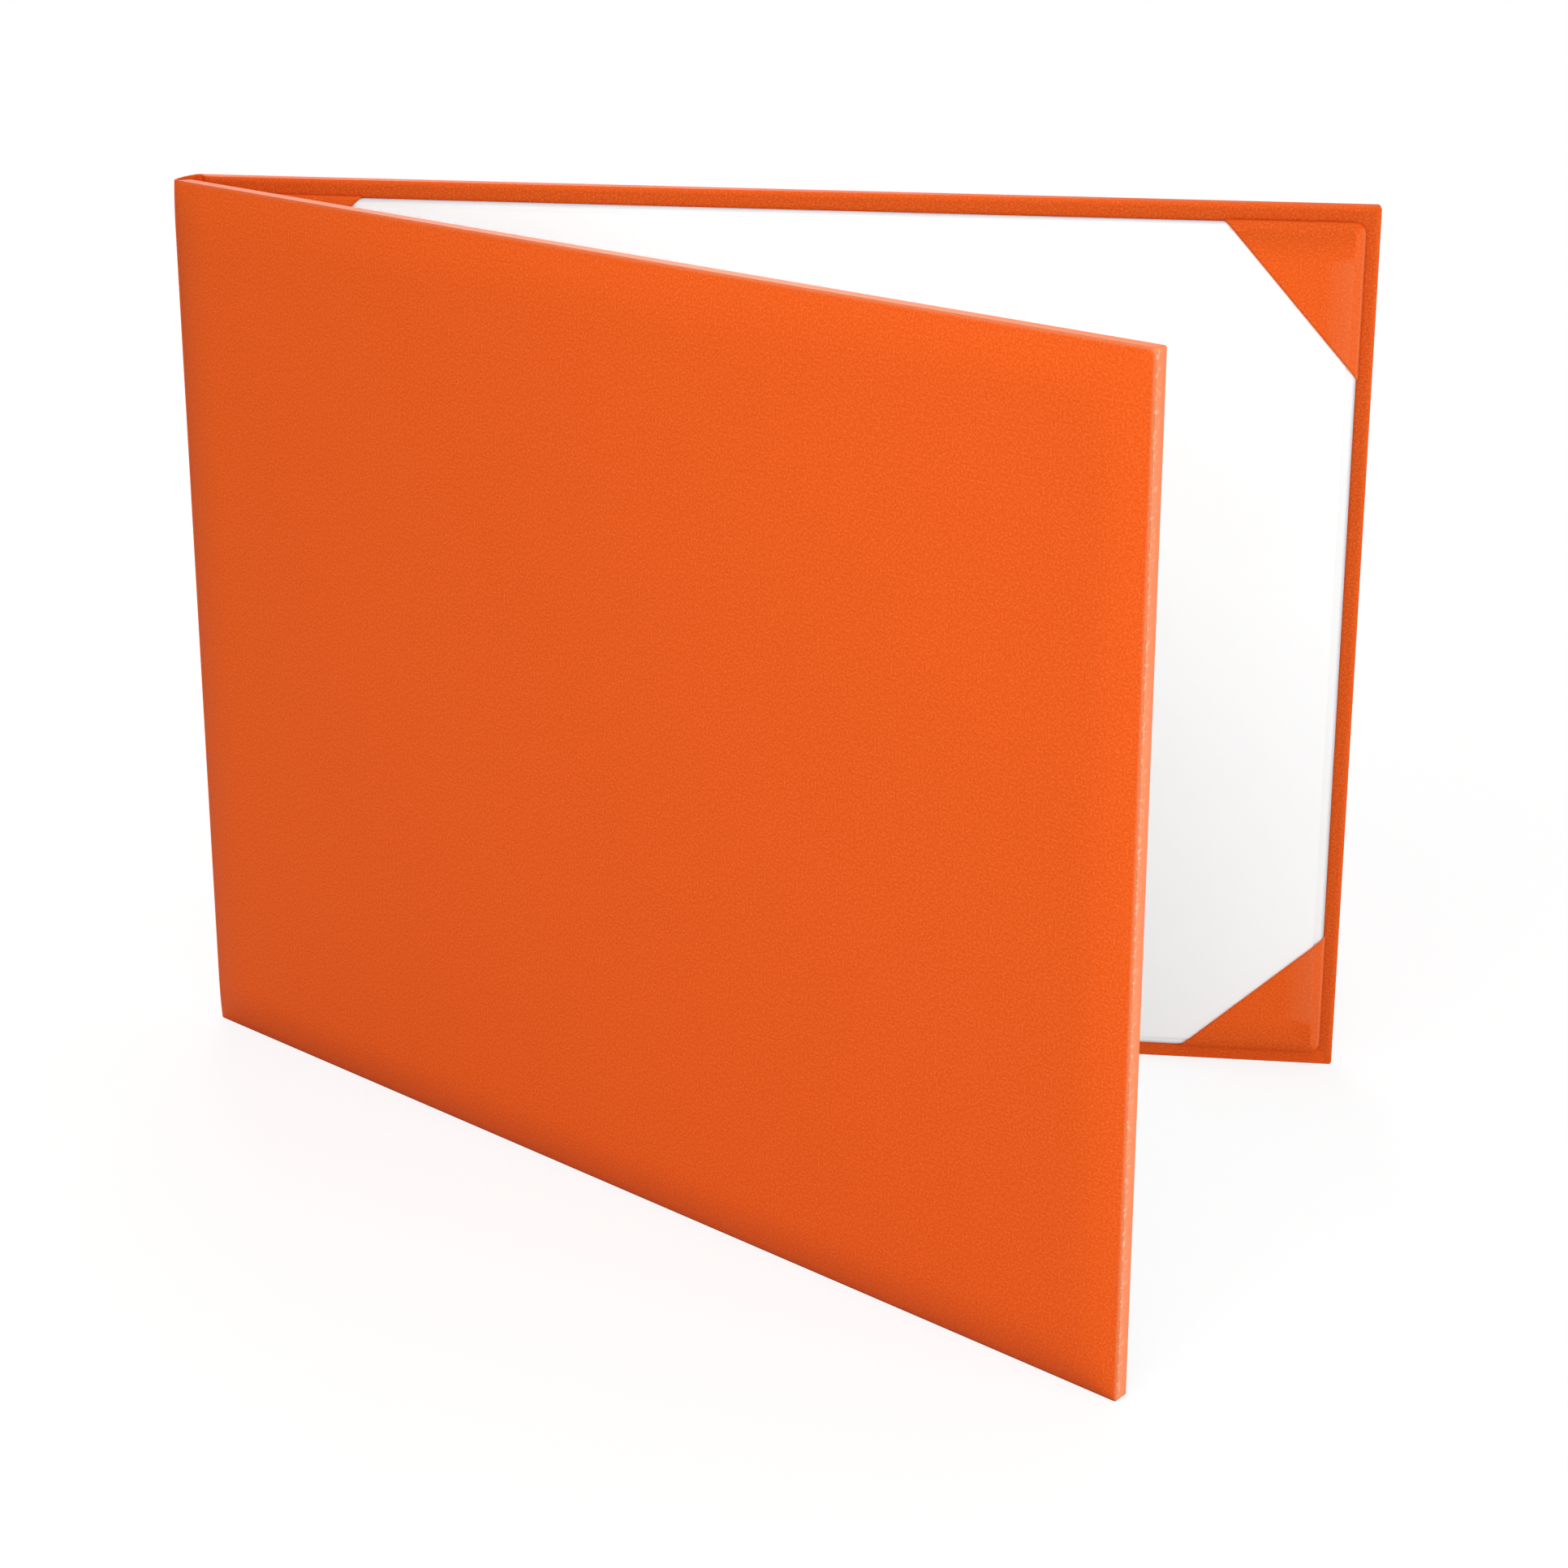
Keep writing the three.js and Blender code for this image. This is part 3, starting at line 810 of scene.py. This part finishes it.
def chipboard():
    """Grey board pressed from waste paper: mixed fibres, dark specks and a rough face."""
    material = bpy.data.materials.new("grey_chipboard")
    material.use_nodes = True
    tree = material.node_tree
    shader = tree.nodes["Principled BSDF"]
    place = add_node(tree, "TexCoord").outputs["Object"]
    fibres = noise(tree, place, 700.0, 5.0, 0.7)
    flecks = noise(tree, place, 260.0, 1.0, 0.4)
    colour = mix_colour(tree, fibres, (0.24, 0.21, 0.17, 1.0), (0.34, 0.31, 0.26, 1.0))
    dark = math_node(tree, "MULTIPLY", math_node(tree, "SUBTRACT", flecks, 0.62), 6.0, clamp=True)
    colour = mix_colour(tree, dark, colour, (0.1, 0.09, 0.08, 1.0))
    bump = add_node(tree, "Bump", None, Height=fibres, Distance=0.0001, Strength=0.5)
    tree.links.new(colour, shader.inputs["Base Color"])
    tree.links.new(bump.outputs["Normal"], shader.inputs["Normal"])
    shader.inputs["Roughness"].default_value = 0.95
    return material


def foam():
    """Open foam: small cells with dark hollows."""
    material = bpy.data.materials.new("cream_foam")
    material.use_nodes = True
    tree = material.node_tree
    shader = tree.nodes["Principled BSDF"]
    place = add_node(tree, "TexCoord").outputs["Object"]
    cells = add_node(tree, "TexVoronoi", None, Vector=place, Scale=1800.0).outputs["Distance"]
    colour = mix_colour(tree, cells, (0.55, 0.52, 0.42, 1.0), (0.82, 0.79, 0.68, 1.0))
    bump = add_node(tree, "Bump", None, Height=cells, Distance=0.0002, Strength=0.6)
    tree.links.new(colour, shader.inputs["Base Color"])
    tree.links.new(bump.outputs["Normal"], shader.inputs["Normal"])
    shader.inputs["Roughness"].default_value = 1.0
    return material


def pad(name, body, node, cover):
    """Foam pad: flat against its board, crowned on the outside and thin at its edges."""
    skin_gap = 0.55 * MM
    rim_depth, board_depth = 0.62 * MM, 1.22 * MM
    crown = 1.5 * MM
    step = 6 * MM
    start, end = board_start + skin_gap, cover_width - skin_gap
    low, high = skin_gap, height - skin_gap
    insets = close_to_edge(pad_shoulder, 8)
    columns = np.unique(np.round(np.concatenate([
        start + insets, spaced(start + pad_shoulder, end - pad_shoulder, step), end - insets,
    ]), 7))
    rows = np.unique(np.round(np.concatenate([
        low + insets, spaced(low + pad_shoulder, high - pad_shoulder, step), high - insets,
    ]), 7))
    distance, z = np.meshgrid(columns, rows, indexing="ij")
    reach = np.minimum(np.minimum(distance - start, end - distance), np.minimum(z - low, high - z))
    cells = 0.03 * MM * np.sin(distance * 900 + z * 300) * np.sin(z * 800 - distance * 200)
    outer = rim_depth - (crown + cells) * shoulder_rise(reach)
    count = distance.size
    index = np.arange(count).reshape(distance.shape)
    faces = []
    for quad in grid_faces(index):
        faces.append(quad)
        faces.append([corner + count for corner in reversed(quad)])
    rim = np.concatenate([index[:, 0], index[-1, 1:], index[-2::-1, -1], index[0, -2:0:-1]])
    for first, last in zip(rim, np.roll(rim, -1)):
        faces.append([first, last, last + count, first + count])
    distances, heights = np.tile(distance.ravel(), 2), np.tile(z.ravel(), 2)
    depths = np.concatenate([outer.ravel(), np.full(count, board_depth)])
    places = np.column_stack([cover.at(distances, depths), heights])
    flat = np.stack([distances, heights], 1)
    made = mesh_piece(name, places, faces, flat, np.zeros(2 * count), cover.inward, 0)
    made.data.materials.append(cream_foam)
    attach(made, body)
    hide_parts(node)
    return made


grey_chipboard, cream_foam = chipboard(), foam()
pad("back_foam", "back_cover", "back_pad", back_leaf)
pad("front_foam", "front_cover", "front_pad", front_leaf)
for name in ("back_board", "front_board"):
    node = frame["nodes"][name]
    node.data.materials.clear()
    node.data.materials.append(grey_chipboard)


# Floor and backdrop
# A plain white floor that keeps the cover's soft shadow, in a white surround.

floor_reach = 0.75


def white_floor():
    """White board in even light: it shows white to the camera, with a faint shadow on it.

    The light that it throws back on the cover is that of a greyer board, as in a studio where
    the floor isn't all lit.
    """
    white, whiter = (0.97, 0.97, 0.97, 1.0), (0.985, 0.985, 0.985, 1.0)
    thrown_back = (0.76, 0.76, 0.76, 1.0)
    material = bpy.data.materials.new("white_floor")
    material.use_nodes = True
    tree = material.node_tree
    shader = tree.nodes["Principled BSDF"]
    place = add_node(tree, "TexCoord").outputs["Object"]
    seen = add_node(tree, "LightPath").outputs["Is Camera Ray"]
    colour = mix_colour(tree, noise(tree, place, 3.0), white, whiter)
    colour = mix_colour(tree, seen, thrown_back, colour)
    tree.links.new(colour, shader.inputs["Base Color"])
    shader.inputs["Roughness"].default_value = 0.95
    shader.inputs["Specular IOR Level"].default_value = 0.0
    # Further than 0.2 m out, the floor fades into plain white.
    reach = add_node(tree, "VectorMath", {"operation": "LENGTH"}, _0=place).outputs["Value"]
    away = math_node(tree, "MULTIPLY", math_node(tree, "SUBTRACT", reach, 0.2), 3.0, clamp=True)
    share = math_node(tree, "ADD", 0.8, math_node(tree, "MULTIPLY", away, 0.2), clamp=True)
    glow = add_node(tree, "Emission", None, Color=(1.0, 1.0, 1.0, 1.0), Strength=1.0)
    choose = tree.nodes.new("ShaderNodeMixShader")
    tree.links.new(math_node(tree, "MULTIPLY", share, seen), choose.inputs[0])
    tree.links.new(shader.outputs[0], choose.inputs[1])
    tree.links.new(glow.outputs[0], choose.inputs[2])
    tree.links.new(choose.outputs[0], tree.nodes["Material Output"].inputs["Surface"])
    return material


floor_mesh = bpy.data.meshes.new("floor")
rim = [(floor_reach * math.cos(turn), floor_reach * math.sin(turn), 0.0)
       for turn in np.linspace(0, 2 * math.pi, 97)[:-1]]
floor_mesh.from_pydata(rim, [], [tuple(range(len(rim)))])
floor = bpy.data.objects.new("floor", floor_mesh)
bpy.context.scene.collection.objects.link(floor)
floor_mesh.materials.append(white_floor())


# Light
# A white surround, an even light from above and soft lamps to the sides and in front.


def lamp(name, kind, place, target, size, power):
    """Square lamp that faces its target, in metres and watts, or a sun with an angle."""
    data = bpy.data.lights.new(name, kind)
    data.energy = power
    if kind == "AREA":
        data.shape = "SQUARE"
        data.size = size
    else:
        data.angle = size
    made = bpy.data.objects.new(name, data)
    made.location = place
    made.rotation_euler = (Vector(target) - Vector(place)).to_track_quat("-Z", "Y").to_euler()
    bpy.context.scene.collection.objects.link(made)
    return made


middle = (0.0, -0.05, 0.15)
lamp("top_light", "SUN", (0.0, 0.0, 2.0), (0.0, 0.0, 0.0), 1.0, 0.83)
lamp("front_lamp", "AREA", (0.05, -0.5, 0.5), middle, 0.3, 0.36)
lamp("upper_lamp", "AREA", (-0.05, -0.35, 0.6), middle, 0.3, 0.95)
lamp("left_lamp", "AREA", (-0.2, -0.6, 0.35), middle, 0.3, 0.7)
lamp("near_lamp", "AREA", (0.3, -0.5, 0.45), middle, 0.3, 0.06)
lamp("right_lamp", "AREA", (0.5, -0.35, 0.13), (0.12, 0.02, 0.08), 0.3, 1.1)
lamp("back_lamp", "AREA", (-0.3, 1.1, 0.6), (0.0, 0.08, 0.12), 0.6, 6.0)

world = bpy.data.worlds.new("white_surround")
world.use_nodes = True
tree = world.node_tree
surround = tree.nodes["Background"]
surround.inputs["Color"].default_value = (1.0, 1.0, 1.0, 1.0)
surround.inputs["Strength"].default_value = 0.40
seen = tree.nodes.new("ShaderNodeBackground")
seen.inputs["Color"].default_value = (1.0, 1.0, 1.0, 1.0)
seen.inputs["Strength"].default_value = 1.0
path = tree.nodes.new("ShaderNodeLightPath")
choose = tree.nodes.new("ShaderNodeMixShader")
tree.links.new(path.outputs["Is Camera Ray"], choose.inputs[0])
tree.links.new(surround.outputs[0], choose.inputs[1])
tree.links.new(seen.outputs[0], choose.inputs[2])
tree.links.new(choose.outputs[0], tree.nodes["World Output"].inputs["Surface"])
bpy.context.scene.world = world


# Camera
# It stands in front of the book, a little above its top edges, and looks slightly down.

camera_place = Vector((0.0976, -0.6536, 0.3497))
camera_turn = math.radians(-5.662)
camera_tilt = math.radians(16.992)
camera_roll = math.radians(0.556)
lens_in_frames = 3710.7 / 1932

camera_data = bpy.data.cameras.new("camera")
camera = bpy.data.objects.new("camera", camera_data)
bpy.context.scene.collection.objects.link(camera)
ahead = Vector((
    math.sin(camera_turn) * math.cos(camera_tilt),
    math.cos(camera_turn) * math.cos(camera_tilt),
    -math.sin(camera_tilt),
))
right = Vector((math.cos(camera_turn), -math.sin(camera_turn), 0.0))
above = right.cross(ahead)
rolled_right = math.cos(camera_roll) * right + math.sin(camera_roll) * above
rolled_above = -math.sin(camera_roll) * right + math.cos(camera_roll) * above
axes = Matrix((rolled_right, rolled_above, -ahead)).transposed()
camera.matrix_world = Matrix.Translation(camera_place) @ axes.to_4x4()
camera_data.sensor_width = 36.0
camera_data.lens = lens_in_frames * camera_data.sensor_width
camera_data.shift_x = -0.0515
camera_data.shift_y = -0.1170
camera_data.clip_start = 0.01
bpy.context.scene.camera = camera
bpy.context.scene.view_settings.view_transform = "Standard"
